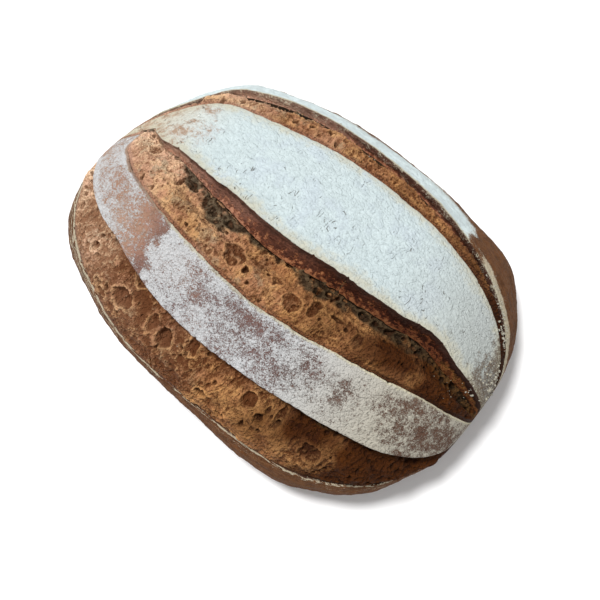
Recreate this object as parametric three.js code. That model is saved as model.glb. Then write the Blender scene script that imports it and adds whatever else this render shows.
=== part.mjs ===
// A free-standing oval rye bread loaf, scored lengthwise with three cuts that burst open in the oven.
// Millimetres, +Z up. X runs along the loaf, Y across it. The loaf rests on its flat underside at Z = 0,
// and the origin is the middle of that underside's outline box.
import * as THREE from "three";

// Driving dimensions of the whole loaf.
const LENGTH = 270;
const WIDTH = 196;
const CREST = 86; // height of the loaf's own curve, before the ears rise from it
const GIRTH_HEIGHT = 27; // height at which the loaf is widest
const FOOT_SHARE = 0.87; // size of the flat underside's outline as a share of the loaf's outline
const LEAST_FOOT = 0.03; // least width under the curled-up ends, as a share of the loaf's width there

// Outline exponents: 2 is an ellipse, and a larger number is a blunter end.
const PLAN_BLUNTNESS = { tapered: 2.23, blunt: 2.83 };
const CREST_BLUNTNESS = { tapered: 2.35, blunt: 2.35 };
const SECTION_BLUNTNESS = 2.25;
const TIP_SKEW = { by: 16, from: 0.6 }; // how far the tapered tip leans towards -Y, from this share on

// The cuts. Each edge is a smooth line through [share of the half length, degrees round the section]: 0 is
// the +Y side, 90 the top and 180 the -Y side. Every cut has its raised ear on its +Y edge.
const CUTS = [
  {
    ear: [[-1, 24], [-0.9, 33], [-0.8, 37.5], [-0.66, 35.5], [-0.4, 32.8], [0, 33.5], [0.38, 37], [0.72, 44.5], [1, 51.5]],
    lip: [[-1, 27], [-0.92, 35], [-0.84, 41], [-0.72, 49.5], [-0.5, 53], [-0.1, 50.3], [0.3, 49.5], [0.75, 52.5], [1, 58]],
    opening: { from: -1, to: -0.86 }, // shares between which the cut opens at the tapered end
    lift: 1.6, // how far the ear's edge stands up from the loaf's own curve
    lean: 2, // how far it hangs out over the cut
    depth: 6,
  },
  {
    ear: [
      [-1, 52], [-0.93, 54.5], [-0.905, 56.5], [-0.87, 61], [-0.835, 69], [-0.78, 76.5], [-0.726, 80.5], [-0.61, 84],
      [-0.45, 85.8], [-0.05, 87.3], [0.2, 86.2], [0.5, 84], [0.66, 81.6], [0.8, 83.5], [1, 84],
    ],
    lip: [
      [-1, 56], [-0.93, 59.5], [-0.9, 76], [-0.88, 83.5], [-0.828, 90], [-0.742, 97.5], [-0.637, 102.5], [-0.5, 104.5],
      [-0.3, 106], [-0.05, 107.5], [0.2, 106], [0.4, 103.6], [0.7, 100], [1, 98],
    ],
    opening: { from: -0.93, to: -0.79 },
    lift: 3,
    lean: 1.5,
    depth: 8.5,
  },
  {
    ear: [[-1, 88], [-0.94, 99.5], [-0.84, 113], [-0.7, 122], [-0.3, 127.8], [0, 128.2], [0.6, 125.5], [1, 128]],
    lip: [
      [-1, 112], [-0.94, 126], [-0.83, 147], [-0.7, 159], [-0.5, 164.5], [-0.3, 166.5], [-0.12, 165], [0, 163],
      [0.12, 164], [0.23, 163], [0.36, 163.2], [0.5, 163], [0.65, 161.7], [0.8, 161], [1, 166],
    ],
    opening: { from: -1, to: -0.9 },
    lift: 2.2,
    lean: 3.5,
    depth: 7.5,
  },
];
const EAR_REACH = 26; // how far back from its edge an ear starts to lift
const LIP_STEP = 1.3; // how far the crumb starts below the skin at a cut's lower edge
const CREVICE_AT = 0.28; // share of a cut's width, from its ear, at which it is deepest
const CROWN_AT = 0.66; // share of a cut's width, from its ear, at which the crumb bulges most
const CROWN_RISE = 1.5; // how far the crumb bulges above the loaf's own curve there
const CUT_FADE = { from: 0.86, to: 0.99 }; // shares of the half length between which the cuts close up

const END_FADE_FROM = 0.94; // share of the half length beyond which bulges vanish, so that the tips close

// Bulges of the crust: place along the loaf as a share of the half length, angle round it, and size.
const BULGES = [
  { along: 0.7, angle: -6, reachAlong: 0.22, reachAngle: 20, rise: 4 },
  { along: 0.38, angle: 186, reachAlong: 0.3, reachAngle: 24, rise: 4.5 },
  { along: -0.5, angle: 60, reachAlong: 0.35, reachAngle: 40, rise: -1.5 },
  { along: 0.05, angle: 68, reachAlong: 0.5, reachAngle: 14, rise: 1.5 },
  { along: -0.88, angle: 58, reachAlong: 0.12, reachAngle: 25, rise: -4.5 },
  { along: -0.62, angle: 178, reachAlong: 0.25, reachAngle: 25, rise: 2.5 },
  { along: 0.9, angle: 150, reachAlong: 0.12, reachAngle: 26, rise: -2.5 },
  { along: 0.93, angle: 182, reachAlong: 0.05, reachAngle: 25, rise: -2.5 },
  { along: 0.78, angle: 186, reachAlong: 0.1, reachAngle: 24, rise: 0.8 },
  { along: 0.52, angle: 186, reachAlong: 0.14, reachAngle: 24, rise: 2 },
  { along: -0.72, angle: 15, reachAlong: 0.15, reachAngle: 30, rise: 2 },
  { along: 0.5, angle: 8, reachAlong: 0.12, reachAngle: 30, rise: -1.6 },
  { along: -0.82, angle: 175, reachAlong: 0.1, reachAngle: 25, rise: -1.8 },
  { along: 0.87, angle: 10, reachAlong: 0.1, reachAngle: 30, rise: -1.8 },
];

// The mesh: rows of faces along the loaf, and for each zone of the section the number of faces round it.
const ROWS = 84;
const FACES = { underside: 1, lowerFlank: 4, rim: 5, cut: 7, strip: 6 };

const HALF_LENGTH = LENGTH / 2;
const HALF_WIDTH = WIDTH / 2;
const FLAT_BELOW = 1; // height under which no bulge reaches, so that the underside stays flat
const { lerp, smoothstep, degToRad } = THREE.MathUtils;

const bluntnessAt = (share, bluntness) => (share < 0 ? bluntness.tapered : bluntness.blunt);

// How much of the full size a superellipse has left at a share of the half length.
function shrink(share, bluntness, outline = 1) {
  const n = bluntnessAt(share, bluntness);
  return Math.pow(Math.max(0, Math.pow(outline, n) - Math.pow(Math.abs(share), n)), 1 / n);
}

const signedPower = (value, power) => Math.sign(value) * Math.pow(Math.abs(value), power);
const skewAt = (share) => -TIP_SKEW.by * smoothstep(-share, TIP_SKEW.from, 1);

// The loaf's own smooth curve above its girth, at an angle from 0 (+Y side) over 90 (top) to 180 (-Y side).
function domePoint(share, degrees) {
  const angle = degToRad(degrees);
  const across = signedPower(Math.cos(angle), 2 / SECTION_BLUNTNESS);
  const up = signedPower(Math.sin(angle), 2 / SECTION_BLUNTNESS);
  const y = skewAt(share) + HALF_WIDTH * shrink(share, PLAN_BLUNTNESS) * across;
  const z = GIRTH_HEIGHT + (CREST - GIRTH_HEIGHT) * shrink(share, CREST_BLUNTNESS) * up;
  return new THREE.Vector3(HALF_LENGTH * share, y, z);
}

// The flank below the girth, from 0 at the girth to 90 at the foot, on the +Y side (1) or the -Y side (-1).
// Its outline keeps the loaf's shape and shrinks to the foot's, so that the underside's edge is rounded.
function footPoint(share, degrees, side) {
  const smallest = Math.max(FOOT_SHARE, Math.abs(share));
  const outline = smallest + (1 - smallest) * Math.cos(degToRad(degrees));
  const curl = (outline - FOOT_SHARE) / (1 - FOOT_SHARE);
  const least = LEAST_FOOT * shrink(share, PLAN_BLUNTNESS);
  const halfWidth = HALF_WIDTH * Math.max(shrink(share, PLAN_BLUNTNESS, outline), least);
  const z = GIRTH_HEIGHT * (1 - Math.sqrt(Math.max(0, 1 - curl * curl)));
  return new THREE.Vector3(HALF_LENGTH * share, skewAt(share) + side * halfWidth, z);
}

function smoothPoint(share, degrees) {
  if (degrees < 0) return footPoint(share, -degrees, 1);
  if (degrees > 180) return footPoint(share, degrees - 180, -1);
  return domePoint(share, degrees);
}

// The directions along the skin round the section, and straight out of it, from nearby points of the curve.
function directions(share, degrees) {
  const step = share > 0 ? -0.004 : 0.004;
  const here = smoothPoint(share, degrees);
  const along = smoothPoint(share + step, degrees).sub(here).multiplyScalar(Math.sign(step));
  const round = smoothPoint(share, degrees + 0.5).sub(smoothPoint(share, degrees - 0.5)).normalize();
  return { round, out: new THREE.Vector3().crossVectors(round, along).normalize() };
}

function bulgeAt(share, degrees) {
  return BULGES.reduce((sum, bulge) => {
    const a = (share - bulge.along) / bulge.reachAlong;
    const b = (degrees - bulge.angle) / bulge.reachAngle;
    return sum + bulge.rise * Math.exp(-a * a - b * b);
  }, 0);
}

// The value at a share of the half length of a smooth line through the points [share, value], in order.
function lineAt(points, share) {
  const slopeAt = (i) => {
    const [before, after] = [points[Math.max(i - 1, 0)], points[Math.min(i + 1, points.length - 1)]];
    return (after[1] - before[1]) / (after[0] - before[0]);
  };
  const next = Math.max(1, points.findIndex(([at]) => at >= share));
  const [from, to] = [points[next - 1], points[next]];
  const span = to[0] - from[0];
  const t = (share - from[0]) / span;
  const bend = span * t * (1 - t) * ((1 - t) * slopeAt(next - 1) - t * slopeAt(next));
  return lerp(from[1], to[1], t * t * (3 - 2 * t)) + bend;
}

// How strong a cut's relief is: it follows the loaf's own width towards the ends, and then closes up.
function cutOpen(cut, share) {
  const opened = smoothstep(share, cut.opening.from, cut.opening.to);
  return opened * shrink(share, PLAN_BLUNTNESS) * (1 - smoothstep(Math.abs(share), CUT_FADE.from, CUT_FADE.to));
}

const arcOfDegrees = (degrees) => (degrees * Math.PI * (HALF_WIDTH + CREST)) / 360;

// How strongly each ear lifts the skin behind its edge: 1 at the edge, falling to 0 at its reach.
function earShare(cut, share, degrees) {
  const back = arcOfDegrees(lineAt(cut.ear, share) - degrees);
  return back < 0 || back > EAR_REACH ? 0 : Math.pow(1 - back / EAR_REACH, 2);
}

// Height above the smooth curve across a cut, from its ear (0) to its lip (1).
function cutRelief(cut, across) {
  if (across < CREVICE_AT) return lerp(cut.lift, -cut.depth, smoothstep(across, 0, CREVICE_AT));
  if (across < CROWN_AT) return lerp(-cut.depth, CROWN_RISE, smoothstep(across, CREVICE_AT, CROWN_AT));
  return lerp(CROWN_RISE, -LIP_STEP, smoothstep(across, CROWN_AT, 1));
}

// A point of the finished loaf. cut and across say where in a cut it is, and are left out on the skin.
function loafPoint(share, degrees, cut, across) {
  const point = smoothPoint(share, degrees);
  const ends = 1 - smoothstep(Math.abs(share), END_FADE_FROM, 1);
  if (ends === 0) return point;
  const { round, out } = directions(share, degrees);
  const bulge = bulgeAt(share, degrees) * ends * smoothstep(point.z, FLAT_BELOW, GIRTH_HEIGHT / 2);
  if (cut) {
    const lean = cut.lean * (1 - smoothstep(across, 0, CREVICE_AT));
    point.addScaledVector(out, bulge + cutRelief(cut, across) * cutOpen(cut, share));
    return point.addScaledVector(round, lean * cutOpen(cut, share));
  }
  point.addScaledVector(out, bulge);
  for (const one of CUTS) {
    const pull = earShare(one, share, degrees) * cutOpen(one, share);
    point.addScaledVector(out, one.lift * pull).addScaledVector(round, one.lean * pull);
  }
  return point;
}

// The section's columns, in order round the loaf from the +Y foot over the top to the -Y foot.
// Each gives the place at a share of the half length.
function sectionColumns() {
  const fixed = (degrees) => [[-1, degrees], [1, degrees]];
  const [far, centre, near] = CUTS;
  const zones = [
    { from: fixed(-90), to: fixed(0), faces: FACES.lowerFlank },
    { from: fixed(0), to: far.ear, faces: FACES.rim },
    { from: far.ear, to: far.lip, faces: FACES.cut, cut: far },
    { from: far.lip, to: centre.ear, faces: FACES.strip },
    { from: centre.ear, to: centre.lip, faces: FACES.cut, cut: centre },
    { from: centre.lip, to: near.ear, faces: FACES.strip },
    { from: near.ear, to: near.lip, faces: FACES.cut, cut: near },
    { from: near.lip, to: fixed(180), faces: FACES.rim },
    { from: fixed(180), to: fixed(270), faces: FACES.lowerFlank },
  ];
  const columns = [];
  for (const zone of zones) {
    for (let step = 0; step < zone.faces; step += 1) {
      const across = step / zone.faces;
      columns.push((share) => {
        const degrees = lerp(lineAt(zone.from, share), lineAt(zone.to, share), across);
        return loafPoint(share, degrees, zone.cut, across);
      });
    }
  }
  columns.push((share) => loafPoint(share, 270));
  return columns;
}

// A sphere's mesh with its poles at the loaf's two ends, each vertex moved to its place on the loaf.
function loafGeometry() {
  const columns = sectionColumns();
  const around = columns.length - 1 + FACES.underside;
  const geometry = new THREE.SphereGeometry(1, around, ROWS);
  const { position } = geometry.attributes;
  for (let i = 0; i < position.count; i += 1) {
    const row = Math.floor(i / (around + 1));
    const column = i % (around + 1) % around;
    const share = Math.cos((row / ROWS) * Math.PI);
    const place = columns[column](share);
    position.setXYZ(i, place.x, place.y, place.z);
  }
  geometry.computeBoundingBox();
  const middle = geometry.boundingBox.getCenter(new THREE.Vector3());
  geometry.translate(-middle.x, -middle.y, -geometry.boundingBox.min.z);
  geometry.computeVertexNormals();
  return geometry;
}

const crust = new THREE.MeshStandardMaterial({ color: 0x9c6a3f, roughness: 0.85, metalness: 0 });
const loaf = new THREE.Mesh(loafGeometry(), crust);
loaf.name = "loaf";

const part = new THREE.Group();
part.add(loaf);

export default part;
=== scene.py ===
"""A whole oval rye bread loaf, floured and scored lengthwise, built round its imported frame.

The loaf is a skin that three long cuts have burst open. Every piece but the loose flour is a closed tube
whose two poles are the loaf's tips: its rows run along the loaf, and its columns run round the piece's own
section. All the shape sums are in millimetres, and meshes are in metres.
"""

import math

import bpy
import numpy as np
from mathutils import Matrix, Vector
from mathutils.bvhtree import BVHTree


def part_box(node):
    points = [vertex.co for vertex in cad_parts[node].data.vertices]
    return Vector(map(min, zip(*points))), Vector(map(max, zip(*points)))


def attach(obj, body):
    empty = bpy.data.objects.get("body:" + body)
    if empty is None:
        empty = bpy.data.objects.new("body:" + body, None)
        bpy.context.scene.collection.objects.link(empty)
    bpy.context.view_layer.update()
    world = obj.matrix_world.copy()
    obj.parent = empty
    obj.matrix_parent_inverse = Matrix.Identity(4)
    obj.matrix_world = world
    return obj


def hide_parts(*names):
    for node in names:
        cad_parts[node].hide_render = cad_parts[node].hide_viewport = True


bl_info = {
    "name": "Rye Bread Loaf",
    "version": (1, 0, 0),
    "blender": (4, 5, 0),
    "location": "3D View > Sidebar > Loaf",
    "description": "A floured hearth loaf with three burst cuts",
    "category": "Object",
}

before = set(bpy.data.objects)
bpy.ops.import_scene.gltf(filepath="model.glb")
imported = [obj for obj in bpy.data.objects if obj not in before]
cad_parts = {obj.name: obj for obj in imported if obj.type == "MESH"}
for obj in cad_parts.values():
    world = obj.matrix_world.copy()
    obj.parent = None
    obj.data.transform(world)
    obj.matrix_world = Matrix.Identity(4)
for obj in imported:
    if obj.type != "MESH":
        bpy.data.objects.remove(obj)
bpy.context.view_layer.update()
LOAF_LOW, LOAF_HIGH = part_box("loaf")
LOAF_SIZE = LOAF_HIGH - LOAF_LOW
MM = 0.001

# The loaf's own curve, as in the frame: superellipse exponents towards its tapered and its blunt end.
PLAN_BLUNTNESS = (2.23, 2.83)
CREST_BLUNTNESS = (2.35, 2.35)
SECTION_BLUNTNESS = 2.25
CREST_SHARE = 86 / 89.1  # height of the smooth curve as a share of the loaf's, ears included
WIDTH_SHARE = 196 / 198.8  # width of the smooth curve as a share of the loaf's, bulges included
GIRTH_SHARE = 27 / 89.1  # height at which the loaf is widest, as a share of its height
FOOT_SHARE = 0.87  # size of the flat underside as a share of the widest outline
LEAST_FOOT = 0.03  # the same at the tips, as a share of the width there
SKEW_BY, SKEW_FROM = 16.0, 0.6  # how far the tapered tip bends sideways, and from which share of the length

# Bulges of the crust: place along as a share of the half length, angle round, reach in each, and rise.
BULGES = (
    (0.7, -6, 0.22, 20, 4.0),
    (0.38, 186, 0.3, 24, 4.5),
    (-0.5, 60, 0.35, 40, -1.5),
    (0.05, 68, 0.5, 14, 1.5),
    (-0.88, 58, 0.12, 25, -4.5),
    (-0.62, 178, 0.25, 25, 2.5),
    (0.9, 150, 0.12, 26, -2.5),
    (0.93, 182, 0.05, 25, -2.5),
    (0.78, 186, 0.1, 24, 0.8),
    (0.52, 186, 0.14, 24, 2.0),
    (-0.72, 15, 0.15, 30, 2.0),
    (0.5, 8, 0.12, 30, -1.6),
    (-0.82, 175, 0.1, 25, -1.8),
    (0.87, 10, 0.1, 30, -1.8),
)
EAR_REACH = 26.0  # how far back from its edge an ear lifts the skin


class Cut:
    """One cut of the loaf. Its lines are points (share of the half length, value)."""

    def __init__(self, ear, lip, opening, lift, lean, depth, crevice, face, crown):
        self.ear = ear  # line: the raised edge's angle round the section
        self.lip = lip  # line: the lower edge's angle
        self.opening = opening  # shares of the half length between which the cut opens at its tapered end
        self.lift = lift  # how far the ear's edge stands up
        self.lean = lean  # how far the ear hangs out over the cut
        self.depth = depth  # how far down the crevice lies
        self.crevice = crevice  # line: how wide the crevice is beyond the ear's face
        self.face = face  # line: how far the ear's torn face reaches into the cut, as a share of its width
        self.crown = crown  # how far the crumb bulges above the loaf's own curve

    def angle(self, share, across):
        ear = smooth_line(self.ear, share)
        return ear + (smooth_line(self.lip, share) - ear) * across

    def strength(self, share):
        return smoothstep(share, *self.opening)


CUTS = {
    "far": Cut(
        ear=(
            (-1, 24), (-0.9, 33), (-0.8, 37.5), (-0.66, 35.5), (-0.4, 32.8),
            (0, 33.5), (0.38, 37), (0.72, 44.5), (1, 51.5),
        ),
        lip=(
            (-1, 27), (-0.92, 35), (-0.84, 41), (-0.72, 49.5), (-0.5, 53),
            (-0.1, 50.3), (0.3, 49.5), (0.75, 52.5), (1, 58),
        ),
        opening=(-1.0, -0.86),
        lift=1.6,
        lean=2.0,
        depth=4.5,
        crevice=((-1, 2.5), (1, 2.5)),
        face=((-1, 0.08), (-0.5, 0.12), (0, 0.1), (0.4, 0.14), (0.7, 0.24), (1, 0.4)),
        crown=0.6,
    ),
    "centre": Cut(
        ear=(
            (-1, 52), (-0.93, 54.5), (-0.905, 56.5), (-0.87, 61), (-0.835, 69),
            (-0.78, 76.5), (-0.726, 80.5), (-0.61, 84), (-0.45, 85.8), (-0.05, 87.3),
            (0.2, 86.2), (0.5, 84.0), (0.66, 81.6), (0.8, 83.5), (1, 84),
        ),
        lip=(
            (-1, 56), (-0.93, 58.5), (-0.914, 62), (-0.907, 69), (-0.9, 77), (-0.88, 83.5),
            (-0.828, 90), (-0.742, 97.5), (-0.637, 102.5), (-0.5, 104.5), (-0.3, 106),
            (-0.05, 107.5), (0.2, 106), (0.4, 103.6), (0.7, 100), (1, 98),
        ),
        opening=(-0.93, -0.79),
        lift=3.0,
        lean=1.2,
        depth=6.5,
        crevice=((-1, 1), (-0.8, 2), (-0.62, 5), (-0.45, 11), (-0.1, 9), (0.2, 7), (0.6, 4.5), (1, 4)),
        face=(
            (-1, 0.06), (-0.8, 0.09), (-0.6, 0.15), (-0.4, 0.2), (-0.2, 0.22),
            (0.2, 0.21), (0.5, 0.24), (0.8, 0.3), (1, 0.3),
        ),
        crown=0.4,
    ),
    "near": Cut(
        ear=(
            (-1, 88), (-0.94, 99.5), (-0.84, 113), (-0.7, 122), (-0.3, 127.8),
            (0, 128.2), (0.6, 125.5), (1, 128),
        ),
        lip=(
            (-1, 112), (-0.94, 126), (-0.83, 147), (-0.7, 159), (-0.5, 164.5),
            (-0.3, 166.5), (-0.12, 165), (0, 163), (0.12, 164), (0.23, 163),
            (0.36, 163.2), (0.5, 163), (0.65, 161.7), (0.8, 161), (1, 166),
        ),
        opening=(-1.1, -0.9),
        lift=2.0,
        lean=2.5,
        depth=6.0,
        crevice=((-1, 2), (-0.7, 5), (-0.2, 5), (0.2, 4), (0.6, 2.5), (1, 2)),
        face=((-1, 0.0), (-0.1, 0.0), (0.2, 0.03), (0.5, 0.1), (0.8, 0.12), (1, 0.05)),
        crown=0.6,
    ),
}


def smoothstep(value, low, high):
    t = np.clip((value - low) / (high - low), 0.0, 1.0)
    return t * t * (3 - 2 * t)


def mix(low, high, t):
    return low + (high - low) * t


def smooth_line(points, share):
    """The value at each share of a smooth line through points (share, value), in order."""
    at, value = np.array(points, float).T
    slope = np.gradient(value, at)
    slope[1:-1] = (value[2:] - value[:-2]) / (at[2:] - at[:-2])
    share = np.clip(share, at[0], at[-1])
    after = np.clip(np.searchsorted(at, share), 1, len(at) - 1)
    before = after - 1
    span = at[after] - at[before]
    t = (share - at[before]) / span
    bend = span * t * (1 - t) * ((1 - t) * slope[before] - t * slope[after])
    return mix(value[before], value[after], t * t * (3 - 2 * t)) + bend


def lattice(x, y, z, seed):
    """A repeatable random value from -1 to 1 at each whole-numbered point."""
    mask = 0xFFFFFFFF
    h = (x * 374761393 + y * 668265263 + z * 2147483629 + seed * 974711) & mask
    h = ((h ^ (h >> 15)) * 1274126177) & mask
    h = ((h ^ (h >> 13)) * 1103515245) & mask
    return ((h ^ (h >> 16)) & 0xFFFF) / 32767.5 - 1.0


def grain(points, size, seed, octaves=1):
    """Smooth random values from about -1 to 1 that vary over size, each octave half as large and strong."""
    total, strength, weight = 0.0, 1.0, 0.0
    for octave in range(octaves):
        scaled = points / (size / 2**octave) + 17.3 * octave
        cell = np.floor(scaled)
        part = scaled - cell
        cell = cell.astype(np.int64)
        ease = part * part * part * (part * (part * 6 - 15) + 10)
        value = 0.0
        for dx in (0, 1):
            for dy in (0, 1):
                for dz in (0, 1):
                    at = (cell[..., 0] + dx, cell[..., 1] + dy, cell[..., 2] + dz)
                    corner = lattice(*at, seed + 31 * octave)
                    wx = ease[..., 0] if dx else 1 - ease[..., 0]
                    wy = ease[..., 1] if dy else 1 - ease[..., 1]
                    wz = ease[..., 2] if dz else 1 - ease[..., 2]
                    value = value + corner * wx * wy * wz
        total = total + value * strength
        weight += strength
        strength /= 2
    return total / weight


def run_across(points):
    """Millimetres from the first column along each row of a grid of points."""
    step = np.linalg.norm(np.diff(points, axis=1), axis=-1)
    return np.concatenate([np.zeros((len(points), 1)), np.cumsum(step, 1)], 1)


def gap(points, line, reach=70):
    """Millimetres from each point of a grid to a line with one point for each row, within reach rows."""
    row = np.arange(len(line))
    nearest = np.full(points.shape[:2], np.inf)
    for step in range(-reach, reach + 1):
        other = line[np.clip(row + step, 0, len(line) - 1)]
        nearest = np.minimum(nearest, np.linalg.norm(points - other[:, None], axis=-1))
    return nearest


class LoafCurve:
    """The loaf's own smooth curve, its bulges and its ears, in millimetres."""

    def __init__(self, sizes):
        self.half_length = sizes.length / MM / 2
        self.half_width = sizes.width / MM / 2 * WIDTH_SHARE
        self.crest = sizes.height / MM * CREST_SHARE
        self.girth = sizes.height / MM * GIRTH_SHARE
        self.lift = sizes.ear_lift
        self.depth = sizes.cut_depth
        self.shift = np.zeros(3)
        share, degrees = np.meshgrid(np.linspace(-1, 1, 201), np.linspace(-60, 240, 151), indexing="ij")
        y = self.place(share, degrees, self.bulge(share, degrees))[..., 1]
        centre = (LOAF_LOW + LOAF_HIGH) / 2 / MM
        self.shift = np.array([centre.x, centre.y - (y.max() + y.min()) / 2, LOAF_LOW.z / MM])

    def shrink(self, share, bluntness, outline=1.0):
        n = np.where(share < 0, bluntness[0], bluntness[1])
        return np.maximum(0.0, outline**n - np.abs(share) ** n) ** (1 / n)

    def taper(self, share):
        """How strong the relief is: it follows the loaf's width towards the tips, and vanishes at them."""
        return self.shrink(share, PLAN_BLUNTNESS) ** 0.7 * (1 - smoothstep(np.abs(share), 0.97, 0.999))

    def point(self, share, degrees):
        share, degrees = np.broadcast_arrays(share, degrees)
        skew = -SKEW_BY * smoothstep(-share, SKEW_FROM, 1.0)
        angle = np.radians(np.clip(degrees, 0, 180))
        cos, sin = np.cos(angle), np.maximum(np.sin(angle), 0)
        plan = self.shrink(share, PLAN_BLUNTNESS)
        across = np.sign(cos) * np.abs(cos) ** (2 / SECTION_BLUNTNESS)
        up = sin ** (2 / SECTION_BLUNTNESS)
        y = skew + self.half_width * plan * across
        z = self.girth + (self.crest - self.girth) * self.shrink(share, CREST_BLUNTNESS) * up
        below = np.radians(np.maximum(-degrees, 0) + np.maximum(degrees - 180, 0))
        smallest = np.maximum(FOOT_SHARE, np.abs(share))
        outline = smallest + (1 - smallest) * np.cos(below)
        curl = (outline - FOOT_SHARE) / (1 - FOOT_SHARE)
        foot = np.maximum(self.shrink(share, PLAN_BLUNTNESS, outline), LEAST_FOOT * plan)
        side = np.where(degrees < 0, 1.0, -1.0)
        y = np.where(below > 0, skew + side * self.half_width * foot, y)
        z = np.where(below > 0, self.girth * (1 - np.sqrt(np.maximum(0, 1 - curl * curl))), z)
        return np.stack([self.half_length * share, y, z], -1)

    def directions(self, share, degrees):
        """Straight out of the skin, and along it round the section."""
        step = np.where(share > 0, -0.004, 0.004)
        along = (self.point(share + step, degrees) - self.point(share, degrees)) * np.sign(step)[..., None]
        around = self.point(share, degrees + 0.5) - self.point(share, degrees - 0.5)
        out = np.cross(around, along)
        size = np.linalg.norm(out, axis=-1, keepdims=True)
        turn = np.linalg.norm(around, axis=-1, keepdims=True)
        return out / np.maximum(size, 1e-9), around / np.maximum(turn, 1e-9)

    def place(self, share, degrees, rise, slide=0.0):
        """Points that stand rise above the smooth curve and are moved slide round the section."""
        share, degrees = np.broadcast_arrays(share, degrees)
        out, around = self.directions(share, degrees)
        slide = np.broadcast_to(slide, share.shape)
        point = self.point(share, degrees) + out * rise[..., None] + around * slide[..., None]
        point[..., 2] = np.maximum(point[..., 2], 0.0)
        return point + self.shift

    def bulge(self, share, degrees):
        rise = 0.0
        for along, angle, reach_along, reach_angle, height in BULGES:
            a = (share - along) / reach_along
            b = (degrees - angle) / reach_angle
            rise = rise + height * np.exp(-a * a - b * b)
        return rise * (1 - smoothstep(np.abs(share), 0.94, 1.0))

    def arc(self, share, degrees):
        """Millimetres round the section for an angle, roughly, at a share of the half length."""
        radius = (self.half_width + self.crest) / 2
        return degrees * math.pi / 180 * radius * self.shrink(share, PLAN_BLUNTNESS)

    def skin(self, share, degrees):
        """The skin's rise, its slide and its distance back from the nearest ear's edge."""
        rise = self.bulge(share, degrees)
        slide = np.zeros_like(rise)
        for cut in CUTS.values():
            back = self.arc(share, smooth_line(cut.ear, share) - degrees)
            pull = np.where(back < -0.2, 0.0, np.clip(1 - back / EAR_REACH, 0, 1) ** 2)
            pull = pull * self.taper(share) * cut.strength(share)
            rise = rise + cut.lift * self.lift * pull
            slide = slide + cut.lean * pull
        return rise, slide

    def rows(self, count):
        """Shares of the half length for evenly spaced rows, from tip to tip."""
        fine = -np.cos(np.linspace(0, np.pi, 4001))
        reach = self.half_width * 0.75 * self.shrink(fine, PLAN_BLUNTNESS)
        steps = np.hypot(np.diff(self.half_length * fine), np.diff(reach))
        arc = np.concatenate([[0], np.cumsum(steps)])
        return np.interp(np.linspace(0, arc[-1], count + 1), arc, fine)


def deselect_all():
    bpy.ops.object.select_all(action="DESELECT")


def add_tube(name, grid, values):
    """A closed tube from a grid of points [row, column], whose first and last rows close at the loaf's tips.
    Each grid in values puts a number of that name on every vertex."""
    rows, columns = grid.shape[0] - 1, grid.shape[1]
    deselect_all()
    bpy.ops.mesh.primitive_uv_sphere_add(segments=columns, ring_count=rows, radius=1.0, location=(0, 0, 0))
    piece = bpy.context.active_object
    piece.name = name
    mesh = piece.data
    mesh.name = name
    unit = np.empty(len(mesh.vertices) * 3, np.float32)
    mesh.vertices.foreach_get("co", unit)
    unit = unit.reshape(-1, 3).astype(float)
    row = rows - np.rint(np.arccos(np.clip(unit[:, 2], -1, 1)) / math.pi * rows).astype(int)
    column = np.rint(np.arctan2(unit[:, 1], unit[:, 0]) / math.tau * columns).astype(int) % columns
    grid[0] = grid[0].mean(0)
    grid[-1] = grid[-1].mean(0)
    mesh.vertices.foreach_set("co", (grid[row, column] * MM).astype(np.float32).ravel())
    for key, value in values.items():
        layer = mesh.attributes.new(key, "FLOAT", "POINT")
        laid_out = np.broadcast_to(value, grid.shape[:2])[row, column]
        layer.data.foreach_set("value", laid_out.astype(np.float32))
    mesh.uv_layers[0].name = "OFBake"
    bpy.ops.object.shade_smooth()
    mesh.update()
    return piece


def finish_piece(piece, material):
    piece.data.materials.clear()
    piece.data.materials.append(material)
    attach(piece, "root")
    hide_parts("loaf")


def steps(count):
    return np.arange(count) / count


def blurred(field, rows, columns):
    """A grid averaged over a window of rows and columns."""
    for axis, reach in ((0, rows), (1, columns)):
        pad = [(0, 0), (0, 0)]
        pad[axis] = (reach + 1, reach)
        total = np.cumsum(np.pad(field, pad, mode="edge"), axis=axis)
        high = np.take(total, range(2 * reach + 1, total.shape[axis]), axis=axis)
        low = np.take(total, range(0, total.shape[axis] - 2 * reach - 1), axis=axis)
        field = (high - low) / (2 * reach + 1)
    return field


def thread(x, y):
    """Points along the loaf at the side place y, for random values that only vary lengthwise."""
    return np.stack([x, 0 * x + y, 0 * x], -1)


def wobble(share, seed):
    """A natural unevenness of an edge along the loaf, in degrees."""
    along = thread(share * LOAF_SIZE.x / MM / 2, seed * 3.7)
    return 0.5 * grain(along, 16.0, seed, 3) + 0.22 * grain(along, 3.2, seed + 5, 2)


def nicks(share, seed, count, deepest):
    """Short notches torn back into an edge, in degrees."""
    random = np.random.default_rng(seed)
    x = share * LOAF_SIZE.x / MM / 2
    back = np.zeros_like(x)
    places = random.uniform(-0.8, 0.9, count)
    widths = random.uniform(0.35, 0.9, count)
    depths = random.uniform(0.2, 1, count) ** 2
    for at, width, depth in zip(places, widths, depths):
        distance = np.abs(x - at * LOAF_SIZE.x / MM / 2) / width
        back = np.maximum(back, deepest * depth * np.clip(1.3 - distance, 0, 1) ** 2)
    return back


def ear_angle(name, share):
    cut = CUTS[name]
    seed = 3 + list(CUTS).index(name)
    return smooth_line(cut.ear, share) + wobble(share, seed) - nicks(share, seed, NICKS[name], 0.7)


def lip_angle(name, share):
    cut = CUTS[name]
    seed = 13 + list(CUTS).index(name)
    return smooth_line(cut.lip, share) + wobble(share, seed) + nicks(share, seed, LIP_NICKS[name], 0.6)


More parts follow.
